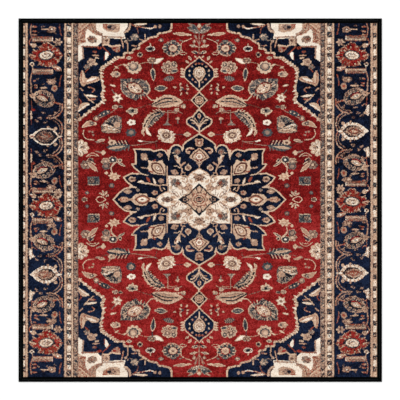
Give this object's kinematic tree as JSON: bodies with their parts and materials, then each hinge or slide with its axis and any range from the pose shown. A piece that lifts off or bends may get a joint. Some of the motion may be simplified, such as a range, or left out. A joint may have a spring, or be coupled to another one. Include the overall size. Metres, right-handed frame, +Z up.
{
  "type": "area rug",
  "caption": "Flat square area rug with a cut pile woven in a medallion pattern, navy side borders, layered backing and a black bound edge on all sides.",
  "frame": {"origin": "on the floor, under the middle of the rug", "axes": "+Z up out of the pile; X across the rug, from side border to side border; +Y along the side borders, towards the edge named north"},
  "size_m": [1.83, 1.83, 0.0092],
  "materials": {
    "yarn_crimson": "cut pile, soft sheen",
    "yarn_navy": "cut pile, soft sheen",
    "yarn_ivory": "cut pile, matt",
    "yarn_cream": "cut pile, matt",
    "yarn_tan": "cut pile, matt",
    "yarn_grey": "cut pile, matt",
    "backing_weave": "open leno weave, matt",
    "latex": "matt",
    "primary_weave": "plain weave, matt",
    "binding_black": "twill tape, matt",
    "cord_cotton": "twisted cotton",
    "thread_black": "polyester thread, slight sheen"
  },
  "bodies": {
    "root": {"backing_cloth": "backing_weave", "latex_layer": "latex", "primary_backing": "primary_weave", "pile_field": "yarn_crimson", "pile_medallion": "yarn_navy", "pile_medallion_outline": "yarn_cream", "pile_rosette": "yarn_ivory", "pile_rosette_star": "yarn_tan", "pile_finial_top": "yarn_navy", "pile_finial_bottom": "yarn_navy", "pile_diamond_top": "yarn_tan", "pile_diamond_bottom": "yarn_tan", "pile_pendant_top": "yarn_navy", "pile_pendant_bottom": "yarn_navy", "pile_pendant_drop_top": "yarn_cream", "pile_pendant_drop_bottom": "yarn_cream", "pile_corner_ne": "yarn_navy", "pile_corner_nw": "yarn_navy", "pile_corner_se": "yarn_navy", "pile_corner_sw": "yarn_navy", "pile_corner_edge_ne": "yarn_cream", "pile_corner_edge_nw": "yarn_cream", "pile_corner_edge_se": "yarn_cream", "pile_corner_edge_sw": "yarn_cream", "pile_cartouche_ne": "yarn_ivory", "pile_cartouche_nw": "yarn_ivory", "pile_cartouche_se": "yarn_ivory", "pile_cartouche_sw": "yarn_ivory", "pile_border_east": "yarn_navy", "pile_border_west": "yarn_navy", "pile_outer_guard_east": "yarn_cream", "pile_outer_guard_west": "yarn_cream", "pile_inner_guard_east": "yarn_cream", "pile_inner_guard_west": "yarn_cream", "pile_grey_guard_east": "yarn_grey", "pile_grey_guard_west": "yarn_grey", "binding_tape_north": "binding_black", "binding_tape_east": "binding_black", "binding_tape_south": "binding_black", "binding_tape_west": "binding_black", "edge_cord_north": "cord_cotton", "edge_cord_east": "cord_cotton", "edge_cord_south": "cord_cotton", "edge_cord_west": "cord_cotton", "stitching_north": "thread_black", "stitching_east": "thread_black", "stitching_south": "thread_black", "stitching_west": "thread_black"}
  },
  "joints": []
}
